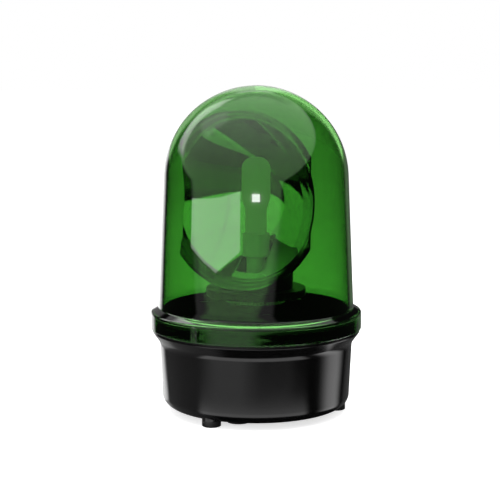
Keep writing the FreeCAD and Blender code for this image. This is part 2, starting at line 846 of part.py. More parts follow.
def turntable():
    """Moulded turntable: hub, rimmed disc and a pedestal shaped to the back of the mirror."""
    part = body("turntable")
    relief = "spindle_radius + hub_relief"
    revolve(part, [
        ("bush_radius", "hub_low"),
        ("hub_radius", "hub_low"),
        ("hub_radius", "plate_low"),
        ("disc_radius - disc_rim", "plate_low"),
        ("disc_radius - disc_rim", "disc_low"),
        ("disc_radius", "disc_low"),
        ("disc_radius", "disc_top"),
        ("pedestal_radius", "disc_top"),
        ("pedestal_radius", "pedestal_top"),
        ("pedestal_radius - pedestal_wall", "pedestal_top"),
        ("pedestal_radius - pedestal_wall", "disc_top"),
        ("hub_radius", "disc_top"),
        ("hub_radius", "hub_top"),
        ("bush_radius", "hub_top"),
        ("bush_radius", "hub_top - bush_length"),
        (relief, "hub_top - bush_length"),
        (relief, "hub_low + bush_length"),
        ("bush_radius", "hub_low + bush_length")])
    bowl(part, "Groove", True, "pedestal_radius + lip_wall")
    post(part, "gear_post_radius", "gear_screw_pitch", "-rest_yaw", "gear_top", "plate_low")
    drill(part, "gear_screw_radius", "gear_screw_pitch", "-rest_yaw", "gear_top", "plate_low")
    drill(part, "leg_screw_radius", "leg_pitch", "60 - rest_yaw", "plate_low", "disc_top")


def reflector():
    """Parabolic mirror, focused on the lamp, with a stepped rim trimmed to its turning circle."""
    part = body("reflector")
    bowl(part, "Revolution", True, "rim_front")
    post(part, "leg_radius", "leg_pitch", "60 - rest_yaw", "disc_top", "focus_level - leg_radius")
    bowl(part, "Groove", False, "rim_front + lip_wall")
    trim = sketch_on(part, "XZ_Plane", "-rest_yaw")
    outline(trim, [
        ("0", "mirror_top"),
        ("sweep_radius", "mirror_top"),
        ("sweep_radius", "disc_top - lip_depth"),
        ("sweep_radius + mirror_rim_radius", "disc_top - lip_depth"),
        ("sweep_radius + mirror_rim_radius", "focus_level + 2 * mirror_rim_radius"),
        ("0", "focus_level + 2 * mirror_rim_radius")])
    feature(part, "Groove", trim)
    window = sketch_on(part, "XY_Plane", "-rest_yaw", "disc_top")
    outline(window, [
        ("-window_width / 2", "-window_front", "window_round"),
        ("window_width / 2", "-window_front", "window_round"),
        ("window_width / 2", "window_back", "window_round"),
        ("-window_width / 2", "window_back", "window_round")])
    feature(part, "Pocket", window, length="holder_top - disc_top + mirror_wall", reverse=True)
    drill(part, "leg_screw_radius", "leg_pitch", "60 - rest_yaw", "disc_top",
          "plate_low + leg_screw_length")


def involute(angle):
    """The involute function of a pressure angle in radians."""
    return math.tan(angle) - angle


def gear_face(teeth, turn):
    """The flat outline of a spur gear, with one tooth centred at an angle in degrees.

    Each flank is the arc through three points of the involute.
    """
    module = size("gear_module")
    pressure = math.radians(size("pressure_angle"))
    pitch_radius = module * teeth / 2
    base_radius = pitch_radius * math.cos(pressure)
    tip_radius = pitch_radius + module
    root_radius = pitch_radius - 1.25 * module
    half_tooth = math.pi / (2 * teeth) - size("tooth_backlash") / (4 * pitch_radius)
    start_radius = max(base_radius, root_radius)

    def flank_angle(radius):
        return half_tooth + involute(pressure) - involute(math.acos(min(1, base_radius / radius)))

    def spot(radius, angle):
        return Vector(radius * math.cos(angle), radius * math.sin(angle), 0)

    radii = (start_radius, (start_radius + tip_radius) / 2, tip_radius)
    edges = []
    for tooth in range(teeth):
        middle = math.radians(turn) + 2 * math.pi * tooth / teeth
        following = middle + math.pi / teeth
        rising = [spot(radius, middle - flank_angle(radius)) for radius in radii]
        falling = [spot(radius, middle + flank_angle(radius)) for radius in reversed(radii)]
        root_half = flank_angle(start_radius)
        leave = spot(root_radius, middle + root_half)
        arrive = spot(root_radius, following + math.pi / teeth - root_half)
        for points in (rising, falling):
            edges.append(Part.Arc(*points).toShape())
        edges.append(Part.Arc(rising[-1], spot(tip_radius, middle), falling[0]).toShape())
        edges.append(Part.Arc(leave, spot(root_radius, following), arrive).toShape())
        if root_radius < base_radius:
            edges.append(Part.LineSegment(falling[-1], leave).toShape())
            edges.append(Part.LineSegment(spot(root_radius, middle - root_half), rising[0]).toShape())
    return Part.Face(Part.Wire(Part.__sortEdges__(edges)))


def tube(outer, inner, height):
    """A plain ring as a shape."""
    return Part.makeCylinder(outer, height).cut(Part.makeCylinder(inner, height))


def gears():
    """Drive gear under the turntable and the pinion on the motor shaft, in mesh at rest."""
    toward_motor = size("motor_angle") - 90
    width = size("gear_width")
    recess_depth = width - size("gear_web")
    rim_inner = size("gear_pitch_radius - 1.25 * gear_module - gear_rim")
    wheel = gear_face(int(size("gear_teeth")), toward_motor).extrude(Vector(0, 0, width))
    wheel = wheel.cut(Part.makeCylinder(size("hub_radius"), width))
    wheel = wheel.cut(tube(rim_inner, size("hub_radius + gear_rim / 2"), recess_depth))
    for index in range(3):
        bolt = Part.makeCylinder(size("gear_screw_radius"), width)
        angle = math.radians(size("-rest_yaw") - 90 + 120 * index)
        bolt.translate(Vector(math.cos(angle), math.sin(angle), 0) * size("gear_screw_pitch"))
        wheel = wheel.cut(bolt)
    drive = doc.addObject("Part::Feature", "drive_gear")
    drive.Shape = wheel
    bind(drive, "Placement.Base.z", "gear_low")
    nodes.append(drive)

    teeth = int(size("pinion_teeth"))
    height = size("pinion_top - pinion_low")
    small = gear_face(teeth, toward_motor + 180 + 180 / teeth).extrude(Vector(0, 0, height))
    small = small.cut(Part.makeCylinder(size("motor_shaft_radius"), height))
    pinion = doc.addObject("Part::Feature", "pinion")
    pinion.Shape = small
    bind(pinion, "Placement.Base.x", "motor_pitch * sin(motor_angle)")
    bind(pinion, "Placement.Base.y", "-motor_pitch * cos(motor_angle)")
    bind(pinion, "Placement.Base.z", "pinion_low")
    nodes.append(pinion)


def motor():
    """Can motor hung from the deck, with its shaft through a clearance hole."""
    part = body("motor_housing")
    bore = "motor_shaft_radius + running_clearance"
    nose = "motor_length + motor_boss_height"
    revolve(part, [
        ("0", "-motor_end_height"),
        ("motor_end_radius", "-motor_end_height"),
        ("motor_end_radius", "0"),
        ("motor_radius - motor_chamfer", "0"),
        ("motor_radius", "motor_chamfer"),
        ("motor_radius", "motor_length"),
        ("motor_boss_radius", "motor_length"),
        ("motor_boss_radius", nose),
        (bore, nose),
        (bore, "motor_length - motor_shaft_depth"),
        ("0", "motor_length - motor_shaft_depth")])
    holes = sketch_on(part, "XY_Plane", "0", "motor_length")
    circle(holes, "motor_screw_radius", "motor_screw_offset", "0")
    circle(holes, "motor_screw_radius", "-motor_screw_offset", "0")
    feature(part, "Pocket", holes, length="motor_screw_length - deck_thickness")
    place(part, "motor_pitch", "motor_angle", "motor_low")

    foot = "deck_under - motor_shaft_depth + axial_play"
    shaft = cylinder("motor_shaft", "motor_shaft_radius", f"pinion_top - ({foot})")
    place(shaft, "motor_pitch", "motor_angle", foot)
    nodes.append(shaft)

    screws = []
    for index, side in enumerate(("", "-")):
        one = screw(f"motor_screws_{index}", "motor", "motor_screw_length")
        bind(one, "Placement.Base.x", side + "motor_screw_offset")
        screws.append(one)
    place(group("motor_screws", screws), "motor_pitch", "motor_angle", "deck_top")


def lamp():
    """Holder on the spindle, the upright board in it and a light chip on each face."""
    holder = body("lamp_holder")
    wire_bore = "spindle_bore"
    revolve(holder, [
        ("spindle_radius", "holder_low"),
        ("holder_neck_radius", "holder_low"),
        ("holder_neck_radius", "holder_step"),
        ("holder_radius - holder_chamfer", "holder_step"),
        ("holder_radius", "holder_step + holder_chamfer"),
        ("holder_radius", "holder_top"),
        ("holder_radius - holder_wall", "holder_top"),
        ("holder_radius - holder_wall", "holder_bed"),
        (wire_bore, "holder_bed"),
        (wire_bore, "socket_top"),
        ("spindle_radius", "socket_top")])

    board = body("lamp_board")
    sketch = sketch_on(board, "XZ_Plane", "90")
    waist = "focus_level - board_waist_drop"
    shoulder = "focus_level - board_shoulder_drop"
    top = "focus_level + board_top_rise"
    outline(sketch, [
        ("-board_foot / 2", "holder_bed"),
        ("board_foot / 2", "holder_bed"),
        ("board_foot / 2", waist),
        ("board_width / 2", shoulder),
        ("board_width / 2", top, "board_round"),
        ("-board_width / 2", top, "board_round"),
        ("-board_width / 2", shoulder),
        ("-board_foot / 2", waist)])
    feature(board, "Pad", sketch, length="board_thickness", both_ways=True)

    chips = []
    clips = []
    wires = []
    for name, sign in (("front", "-"), ("back", "")):
        chips.append(box(f"chip_{name}", "chip_width", "chip_thickness", "chip_width",
                         "focus_level - chip_width / 2", "0",
                         f"{sign}(board_thickness + chip_thickness) / 2"))
        for side in ("-", ""):
            clips.append(box(f"clip_{name}{side}", "board_clip_width", "board_clip_width",
                             "holder_top - holder_bed + board_clip_rise", "holder_bed",
                             side + "clip_spacing / 2",
                             f"{sign}(board_thickness + board_clip_width) / 2"))
        wire = cylinder(f"led_wire_{name}", "led_wire_radius", "holder_bed - header_top", "header_top")
        bind(wire, "Placement.Base.x", sign + "led_wire_spacing / 2")
        wires.append(wire)
    group("light_chips", chips)
    group("board_clips", clips)
    group("lamp_wires", wires)


def control_board():
    """Round circuit board on the floor with its parts, terminals and wire headers."""
    board = body("control_board")
    disc = sketch_on(board, "XY_Plane", "0", "standoff_top")
    circle(disc, "circuit_radius")
    feature(board, "Pad", disc, length="circuit_thickness")
    drill(board, "circuit_screw_radius", "standoff_pitch", "standoff_angle", "standoff_top",
          "circuit_top")

    centre = box("lamp_header", "header_length", "header_width", "header_height", "circuit_top")
    block = box("motor_header", "header_length", "header_width", "header_height")
    beside = gather("lead_header", [block])
    place(beside, "motor_pitch", "motor_angle", "circuit_top")
    group("wire_headers", [centre, beside])

    leads = []
    for index, side in enumerate(("", "-")):
        wire = cylinder(f"motor_lead_{index}", "motor_wire_radius",
                        "motor_low - motor_end_height - header_top")
        bind(wire, "Placement.Base.x", side + "motor_wire_spacing / 2")
        leads.append(wire)
    place(group("motor_leads", leads), "motor_pitch", "motor_angle", "header_top")

    block = box("terminal_blank", "terminal_length", "terminal_depth", "terminal_height")
    ways = int(size("terminal_ways"))
    screws = []
    for index in range(ways):
        x = f"terminal_length * ({index} + 0.5 - {ways} / 2) / {ways}"
        well = cylinder(f"terminal_well_{index}", "terminal_screw_radius", "terminal_height",
                        "terminal_height / 2")
        bind(well, "Placement.Base.x", x)
        entry = box(f"terminal_entry_{index}", "2 * terminal_screw_radius", "terminal_depth",
                    "terminal_height / 3", "terminal_height / 8", x, "-terminal_depth / 2")
        block = join(f"terminal_cut_{index}", "Cut", join(f"terminal_drilled_{index}", "Cut",
                                                          block, well), entry)
        turned = cylinder(f"terminal_pin_{index}", "terminal_screw_radius", "terminal_height / 4",
                          "terminal_height / 2")
        bind(turned, "Placement.Base.x", x)
        screws.append(turned)
    place(group("terminal_block", [block]), "terminal_pitch", "terminal_angle", "circuit_top")
    place(group("terminal_screws", screws), "terminal_pitch", "terminal_angle", "circuit_top")

    cans = []
    for index in range(2):
        can = cylinder(f"capacitor_{index}", "capacitor_radius", "capacitor_height")
        place(can, "capacitor_pitch", f"capacitor_angle + capacitor_spread * ({index} - 0.5)",
              "circuit_top")
        cans.append(can)
    group("capacitors", cans)
    chip = box("driver_chip", "chip_length", "chip_depth", "chip_height")
    place(group("driver_package", [chip]), "driver_pitch", "driver_angle", "circuit_top")


def fasteners():
    """Screws of the deck, the circuit board, the drive gear and the mirror's legs."""
    screw_ring("deck_screws", "deck", "deck_screw_length", "pillar_pitch", "pillar_angle",
               "recess_floor")
    screw_ring("board_screws", "circuit", "circuit_screw_length", "standoff_pitch",
               "standoff_angle", "circuit_top")
    screw_ring("gear_screws", "gear", "plate_low - web_low", "gear_screw_pitch", "-rest_yaw",
               "web_low", down=False)
    screw_ring("reflector_screws", "leg", "leg_screw_length", "leg_pitch", "60 - rest_yaw",
               "plate_low", down=False)


base_housing()
feet_and_inserts()
cable_grommet()
gasket()
deck()
spindle()
spindle_rings()
motor()
lamp()
control_board()
turntable()
reflector()
gears()
fasteners()
cap()
doc.recompute()

for made in doc.Objects:
    if "Invalid" in made.State or "Error" in made.State:
        raise RuntimeError(f"{made.Label} failed: {made.State}")
for node in nodes:
    if node.Shape.isNull() or not node.Shape.isValid() or not node.Shape.Solids:
        raise RuntimeError(f"{node.Label} has no sound solid")

os.makedirs("parts", exist_ok=True)
for node in nodes:
    node.Shape.exportStep(f"parts/{node.Label}.step")
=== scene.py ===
import math

import bpy
import numpy as np
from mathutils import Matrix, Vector


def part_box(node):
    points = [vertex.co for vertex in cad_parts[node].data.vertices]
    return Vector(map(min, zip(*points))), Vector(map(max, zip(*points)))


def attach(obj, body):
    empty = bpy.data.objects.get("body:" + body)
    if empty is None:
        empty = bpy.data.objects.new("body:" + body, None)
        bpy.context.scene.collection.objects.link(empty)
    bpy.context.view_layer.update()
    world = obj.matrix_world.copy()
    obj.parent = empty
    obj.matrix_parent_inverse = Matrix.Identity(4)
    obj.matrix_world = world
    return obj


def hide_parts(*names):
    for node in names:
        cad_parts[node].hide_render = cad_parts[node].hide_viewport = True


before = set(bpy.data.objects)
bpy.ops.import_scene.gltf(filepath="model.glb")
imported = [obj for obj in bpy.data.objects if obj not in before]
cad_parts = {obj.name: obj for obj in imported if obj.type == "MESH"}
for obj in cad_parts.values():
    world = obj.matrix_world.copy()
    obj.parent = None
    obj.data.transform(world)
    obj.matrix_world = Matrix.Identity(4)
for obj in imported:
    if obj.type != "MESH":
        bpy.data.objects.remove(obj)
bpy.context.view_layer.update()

# The view: a long lens looks slightly down at the front of the beacon, which stands a
# little to the right of the middle of the picture.
view_height = 0.1089
view_side = -0.0040
view_distance = 0.904
view_elevation = math.radians(7.6)
camera = bpy.data.objects.new("camera", bpy.data.cameras.new("camera"))
bpy.context.scene.collection.objects.link(camera)
camera.data.sensor_width = 36.0
camera.data.lens = 96.8
camera.data.clip_start = 0.02
camera.location = (view_side, -view_distance * math.cos(view_elevation),
                   view_height + view_distance * math.sin(view_elevation))
camera.rotation_euler = (math.pi / 2 - view_elevation, 0, 0)
bpy.context.scene.camera = camera
bpy.context.scene.view_settings.view_transform = "Standard"


class Shade:
    """A socket of a material, with arithmetic on it: an expression adds its Math nodes."""

    def __init__(self, tree, socket=None):
        self.tree = tree
        self.socket = socket

    def node(self, kind, settings=None, inputs=None, output=0):
        """Any node by its type: settings first, then the values or links of its sockets."""
        made = self.tree.nodes.new("ShaderNode" + kind)
        for name, value in (settings or {}).items():
            setattr(made, name, value)
        for name, value in (inputs or {}).items():
            if isinstance(value, Shade):
                self.tree.links.new(value.socket, made.inputs[name])
            else:
                made.inputs[name].default_value = value
        return Shade(self.tree, made.outputs[output] if made.outputs else None)

    def also(self, name):
        """Another output of the node that this value comes from."""
        return Shade(self.tree, self.socket.node.outputs[name])

    def math(self, operation, first, second=0.0):
        return self.node("Math", {"operation": operation}, {0: first, 1: second})

    def __add__(self, other):
        return self.math("ADD", self, other)

    def __sub__(self, other):
        return self.math("SUBTRACT", self, other)

    def __rsub__(self, other):
        return self.math("SUBTRACT", other, self)

    def __mul__(self, other):
        return self.math("MULTIPLY", self, other)

    __radd__ = __add__
    __rmul__ = __mul__

    def step(self, low, high):
        """0 below low, 1 above high, smooth between."""
        return self.node("MapRange", {"interpolation_type": "SMOOTHSTEP"},
                         {"Value": self, "From Min": low, "From Max": high})

    def between(self, low, high, edge):
        """1 from low to high and 0 outside, over a soft edge."""
        return self.step(low - edge, low + edge) * (1 - self.step(high - edge, high + edge))

    def blend(self, first, second):
        """A colour that goes from first to second as this value goes from 0 to 1.

        The colours of the Mix node are its sockets 6 and 7, and its colour result is output 2.
        """
        return self.node("Mix", {"data_type": "RGBA"}, {
            0: self, 6: first if isinstance(first, Shade) else (*first, 1.0),
            7: second if isinstance(second, Shade) else (*second, 1.0)}, 2)


# The studio round the beacon: a white sweep that the camera sees directly and through the
# cap, and for polished faces a dim room with a wide ceiling light and a few windows in it.
# A window is a rectangle of directions in degrees: left, right, low and high, the softness
# of its sides, and its level. The azimuth goes from the front towards +X.
room_light = 0.42
darkest = 0.012
ceiling_way = Vector((-0.213, -0.401, 0.891))
ceiling_spread = 76.8
ceiling_softness = 0.02
ceiling_back = (140.0, 160.0)
ceiling_cut = (53.0, 57.0)
ceiling_loss = 0.4
outer_ceiling = (0.30, 1.10, -5.0, 85.0)
outer_windows = [
    (-60.0, -6.0, -24.0, -14.5, 15.0, 0.70),
    (-4.0, 46.0, -24.0, -14.5, 8.0, 0.15),
    (-150.0, -60.0, -90.0, -14.5, 14.0, 0.18),
    (93.0, 127.0, -60.0, -14.5, 12.0, 1.9),
    (-190.0, -150.0, -90.0, -14.5, 8.0, 0.6),
    (-75.0, 66.0, -60.0, -26.0, 6.0, 1.5),
    (-46.0, -43.5, -14.0, 25.0, 1.0, -0.07),
    (-190.0, -150.0, -14.5, 4.0, 7.0, 1.8),
    (-190.0, -170.0, 4.0, 42.0, 4.0, 0.7),
    (-172.0, -146.0, 4.0, 24.0, 5.0, 0.25),
    (170.0, 190.0, 3.0, 42.0, 4.0, 0.7),
    (145.0, 190.0, -90.0, 3.0, 5.0, 0.10)]
inner_ceiling = (2.4, 2.8, 72.0, 88.0)
inner_windows = [
    (-100.0, 60.0, 44.5, 45.5, 2.0, -1.2),
    (4.0, 6.5, -5.0, 80.0, 1.0, -0.8),
    (-100.0, 60.0, -90.0, -57.0, 2.0, 1.3),
    (-82.0, 60.0, -43.0, -15.0, 2.0, 0.22),
    (-190.0, -145.0, 3.0, 42.0, 5.0, 1.2),
    (145.0, 190.0, 3.0, 42.0, 5.0, 2.0),
    (145.0, 190.0, -60.0, 3.0, 5.0, 0.3)]
strip_lean = 0.85
side_strip = (-117.0, -97.0, 15.0, 50.0, 4.0, 1.9)
side_glow = (-122.0, -84.0, 40.0, 64.0, 6.0, 0.6)
front_sides = (-84.0, -19.0, 1.0)
front_top = (0.0219, 0.37)
front_foot_right = (0.0393, -1.84)
front_foot_left = (-0.012, -4.31)
front_softness = 0.05
front_level = 3.0


def window_light(azimuth, elevation, window, softness=2.0):
    """The level of a window over its rectangle, and 0 elsewhere."""
    left, right, low, high, side, level = window
    return azimuth.between(left, right, side) * elevation.between(low, high, softness) * level


def room_picture(azimuth, elevation):
    """How bright the room is along a direction in degrees, as polished faces show it.

    Faces outside the cap and faces within it have their own picture of the same room. The
    ceiling light is a disc of directions about its own middle, weaker low down at the back,
    with its levels at two elevations. A window with a level below 0 is a shade. The side
    light is a leaning strip behind on the left with a soft glow above it, and the front
    light a pane between slanting lines of so many degrees for a degree of azimuth.
    """
    turn = azimuth * math.radians(1)
    rise = elevation * math.radians(1)
    flat = rise.math("COSINE", rise)
    overhead = (turn.math("SINE", turn) * flat * ceiling_way.x
                - turn.math("COSINE", turn) * flat * ceiling_way.y
                + rise.math("SINE", rise) * ceiling_way.z)
    edge = math.cos(math.radians(ceiling_spread))
    cut = azimuth.math("ABSOLUTE", azimuth).step(*ceiling_back) * (1 - elevation.step(*ceiling_cut))
    ceiling = overhead.step(edge - ceiling_softness, edge + ceiling_softness) * (1 - cut * ceiling_loss)
    side_light = (window_light(azimuth + elevation * strip_lean, elevation, side_strip, softness=3.0)
                  + window_light(azimuth, elevation, side_glow, softness=4.0))
    top, foot_right, foot_left = (
        azimuth * slant + offset for slant, offset in (front_top, front_foot_right, front_foot_left))
    foot = azimuth.math("MAXIMUM", foot_right, foot_left)
    front_light = (azimuth.between(*front_sides)
                   * (elevation - foot).step(-front_softness, front_softness)
                   * (top - elevation).step(-front_softness, front_softness))
    views = []
    for (dim, bright, from_height, to_height), windows in (
            (outer_ceiling, outer_windows), (inner_ceiling, inner_windows)):
        light = ceiling * (elevation.step(from_height, to_height) * (bright - dim) + dim) + darkest
        for window in windows:
            light = light + window_light(azimuth, elevation, window)
        views.append(light)
    outside = views[0] + side_light + front_light * front_level
    light = outside + within_cap(azimuth) * (views[1] - outside)
    return light.math("MAXIMUM", light, 0.0)


def within_cap(tree):
    """1 for a ray that has passed the cap's wall, and 0 for one reflected outside it."""
    return tree.math("GREATER_THAN", tree.node("LightPath", output="Transmission Depth"), 0.5)


def sight(tree):
    """Two masks of the rays: seen directly or through clear plastic, and seen by a mirror."""
    path = tree.node("LightPath", output="Is Camera Ray")
    bounced = path.also("Diffuse Depth") + path.also("Glossy Depth")
    clear = tree.math("MAXIMUM", path, path.also("Is Transmission Ray"))
    direct = clear * tree.math("LESS_THAN", bounced, 0.5)
    mirrored = path.also("Is Glossy Ray") * tree.math("GREATER_THAN", path.also("Glossy Depth"), 0.5)
    return direct, mirrored


world = bpy.data.worlds.new("studio")
world.use_nodes = True
world.node_tree.nodes.clear()
bpy.context.scene.world = world
sky = Shade(world.node_tree)
direct, mirrored = sight(sky)
x = sky.node("SeparateXYZ", {}, {"Vector": sky.node("TexCoord", output="Generated")})
azimuth = sky.math("ARCTAN2", x, x.also("Y") * -1.0) * math.degrees(1)
elevation = sky.math("ARCSINE", x.also("Z")) * math.degrees(1)
picture = room_picture(azimuth, elevation)
strength = room_light + direct * (1.0 - room_light) + mirrored * (picture - room_light)
backdrop = sky.node("Background", {}, {"Color": (1, 1, 1, 1), "Strength": strength})
sky.node("OutputWorld", {}, {"Surface": backdrop})

# The floor is white, and a mirrored ray sees the same room in it. The ray left the beacon's
# side, or its wider collar, so its direction follows from the place it reaches and from its
# length. Far away the length tells little, and the height that it came from serves instead:
# the mirror's middle, or on the dome a height that falls with each degree.
mm = 0.001
floor_size = 30.0
floor_lift = 0.68
side_radius = 64 * mm
collar_extra = 7 * mm
collar_reach = (0.24, 0.50, 0.04)
least_descent = 7.0
far_reach = (0.5, 0.9)
focus_height = 144 * mm
dome_height = 153 * mm
dome_fall = 15 * mm


def blank_material(name):
    """A material with an empty node tree, and its tree as a Shade."""
    material = bpy.data.materials.new(name)
    material.use_nodes = True
    material.node_tree.nodes.clear()
    return material, Shade(material.node_tree)


def close_material(tree, surface):
    """Links the finished shader to the material's output."""
    tree.node("OutputMaterial", {}, {"Surface": surface})


floor_mesh = bpy.data.meshes.new("floor")
half = floor_size / 2
floor_mesh.from_pydata([(-half, -half, 0), (half, -half, 0), (half, half, 0), (-half, half, 0)], [],
                       [(0, 1, 2, 3)])
floor = bpy.data.objects.new("floor", floor_mesh)
bpy.context.scene.collection.objects.link(floor)
floor_paint, tree = blank_material("floor_paint")
direct, mirrored = sight(tree)
outside = 1 - within_cap(tree)
x = tree.node("SeparateXYZ", {}, {"Vector": tree.node("TexCoord", output="Object")})
y = x.also("Y")
reach = tree.math("SQRT", x * x + y * y)
start = reach.between(*collar_reach) * collar_extra + side_radius
stretch = tree.math("DIVIDE", start, reach * 2 - start) * outside + 1
turn = tree.math("ARCTAN2", x, y * -1.0) * stretch
sideways = tree.math("SINE", turn * 0.5) * start
run = tree.math("SQRT", reach * reach - sideways * sideways) - tree.math("COSINE", turn * 0.5) * start
slope = tree.math("DIVIDE", run, tree.node("LightPath", output="Ray Length"))
slope = tree.math("MINIMUM", tree.math("MAXIMUM", slope, 0.0), 1.0)
near = tree.math("MAXIMUM", tree.math("ARCCOSINE", slope) * math.degrees(1), least_descent)
start_height = outside * (dome_height - focus_height) + focus_height
far = tree.math("DIVIDE", start_height, run * math.radians(1) + outside * dome_fall)
azimuth = turn * math.degrees(1)
elevation = (near + reach.step(*far_reach) * (far - near)) * -1.0
matt = tree.node("BsdfDiffuse", {}, {"Color": (0.80, 0.80, 0.80, 1)})
lift = tree.node("Emission", {}, {"Color": (1, 1, 1, 1), "Strength": direct * floor_lift})
picture = tree.node("Emission", {}, {"Color": (1, 1, 1, 1), "Strength": room_picture(azimuth, elevation)})
lit = tree.node("AddShader", {}, {0: matt, 1: lift})
close_material(tree, tree.node("MixShader", {}, {"Fac": mirrored, 1: lit, 2: picture}))
floor_mesh.materials.append(floor_paint)


def lamp(name, azimuth, elevation, distance, width, height, power, aim=(0.0, 0.0, 0.12)):
    """A soft lamp on a sphere about the beacon, turned to face it; the room shows its glow."""
    data = bpy.data.lights.new(name, "AREA")
    data.shape = "RECTANGLE"
    data.size = width
    data.size_y = height
    data.energy = power
    made = bpy.data.objects.new(name, data)
    bpy.context.scene.collection.objects.link(made)
    a = math.radians(azimuth)
    e = math.radians(elevation)
    toward = Vector((math.sin(a) * math.cos(e), -math.cos(a) * math.cos(e), math.sin(e)))
    made.location = Vector(aim) + toward * distance
    made.rotation_mode = "QUATERNION"
    made.rotation_quaternion = toward.to_track_quat("Z", "Y")
    made.visible_camera = False
    made.visible_transmission = False
    made.visible_glossy = False


lamp("window_lamp", -32, 16, 1.3, 1.3, 0.9, 9.0)
lamp("ceiling_lamp", -10, 74, 1.2, 1.3, 1.1, 12.0)
lamp("side_lamp", 112, 14, 1.2, 0.30, 1.1, 5.0)
lamp("rear_lamp", 215, 20, 1.3, 0.6, 1.0, 4.0)

# The base is one moulding in black plastic with a satin skin: a drafted pot, a flared flange
# under the cap and a rim that the cap slides over.
base_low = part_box("base_housing")[0].z
base_radius = 62.8 * mm
base_corner = 7.9 * mm
neck_radius = 64.9 * mm
neck_top = 47.9 * mm
flare_round = 7.5 * mm
flange_radius = 70 * mm
flange_low = 54.9 * mm
flange_top = 56.7 * mm
flange_low_round = 0.8 * mm
flange_top_round = 0.5 * mm
rim_radius = 66.6 * mm
rim_inner = 62.1 * mm
rim_top = 64 * mm
rim_round = 0.5 * mm
rim_root_round = 0.4 * mm
seat_radius = 60.5 * mm
seat_height = 58 * mm
cavity_radius = 58.9 * mm
cavity_corner = 3.0 * mm
floor_top = 7.4 * mm


def plastic(name, colour, shade, roughness, grain_size, grain_depth, gloss=0.5):
    """Moulded plastic or rubber: slight patches of tone and a fine grain."""
    material, tree = blank_material(name)
    place = tree.node("TexCoord", output="Object")
    cloud = tree.node("TexNoise", {}, {"Vector": place, "Scale": 45.0, "Detail": 3.0})
    grain = tree.node("TexNoise", {}, {"Vector": place, "Scale": 1.0 / grain_size, "Detail": 2.0})
    relief = tree.node("Bump", {}, {"Height": grain, "Strength": grain_depth, "Distance": grain_size / 8})
    skin = tree.node("BsdfPrincipled", {}, {
        "Base Color": cloud.blend(colour, shade), "Normal": relief, "Specular IOR Level": gloss,
        "Roughness": roughness + (cloud - 0.5) * 0.08 + (grain - 0.5) * 0.10})
    close_material(tree, skin)
    return material


def rounded(corners, arc_steps=8):
    """An outline (radius, height) whose corners (x, z, round) become arcs of that radius."""
    points = np.array([corner[:2] for corner in corners], float)
    rounds = [corner[2] if len(corner) > 2 else 0.0 for corner in corners]
    path = []
    for index, radius in enumerate(rounds):
        here = points[index]
        if radius == 0 or index in (0, len(points) - 1):
            path.append(here[None])
            continue
        back = points[index - 1] - here
        ahead = points[index + 1] - here
        back = back / np.hypot(*back)
        ahead = ahead / np.hypot(*ahead)
        half = math.acos(np.clip(back @ ahead, -1, 1)) / 2
        middle = (back + ahead) / np.hypot(*(back + ahead))
        centre = here + middle * radius / math.sin(half)
        first = here + back * radius / math.tan(half) - centre
        last = here + ahead * radius / math.tan(half) - centre
        turn = np.linspace(0, 1, arc_steps + 1)[:, None]
        sweep = math.pi - 2 * half
        path.append(centre + (np.sin((1 - turn) * sweep) * first + np.sin(turn * sweep) * last)
                    / math.sin(sweep))
    return np.vstack(path)


def put_mesh(name, vertices, faces, body, slot, material, sharp=35.0):
    """A smooth-shaded piece from arrays, whose edges over an angle stay sharp."""
    mesh = bpy.data.meshes.new(name)
    mesh.from_pydata(vertices.tolist(), [], [face for part in faces for face in part.tolist()])
    mesh.shade_smooth()
    mesh.set_sharp_from_angle(angle=math.radians(sharp))
    mesh.materials.append(material)
    made = bpy.data.objects.new(name, mesh)
    bpy.context.scene.collection.objects.link(made)
    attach(made, body)
    return made


def turned(profile, angle, swell=None, centre=(0.0, 0.0)):
    """Vertices and faces of a profile carried round an upright axis.

    A point of the profile (r, z) at the angle t lies at (r sin t, -r cos t, z). swell gives
    an addition to r over the grid. A profile that starts and ends on the axis closes there
    to a point at each end, and any other is a loop that closes on itself.
    """
    angle = angle[None, :]
    count = len(profile)
    segments = angle.shape[1]
    radius = np.repeat(profile[:, :1], segments, 1)
    height = np.repeat(profile[:, 1:], segments, 1)
    if swell is not None:
        radius = radius + swell(radius, height, angle)
    grid = np.stack([centre[0] + radius * np.sin(angle), centre[1] - radius * np.cos(angle), height], 2)
    poles = [row for row in (0, count - 1) if profile[row, 0] < 1e-9]
    rows = [row for row in range(count) if row not in poles]
    vertices = grid[rows].reshape(-1, 3)
    number = np.arange(len(rows) * segments).reshape(len(rows), segments)
    if not poles:
        number = np.vstack([number, number[:1]])
    nearer, farther = number[:-1], number[1:]
    quads = np.stack([nearer, np.roll(nearer, -1, 1), np.roll(farther, -1, 1), farther], 2)
    faces = [quads.reshape(-1, 4)]
    for row in poles:
        ring = number[0] if row == 0 else number[-1]
        tip = np.full(segments, len(vertices))
        vertices = np.vstack([vertices, grid[row, 0]])
        after = np.roll(ring, -1)
        faces.append(np.stack([tip, after, ring] if row == 0 else [tip, ring, after], 1))
    return vertices, faces


def round_angles(segments):
    """Equal steps of the angle all the way round."""
    return np.linspace(0, 2 * math.pi, segments, endpoint=False)


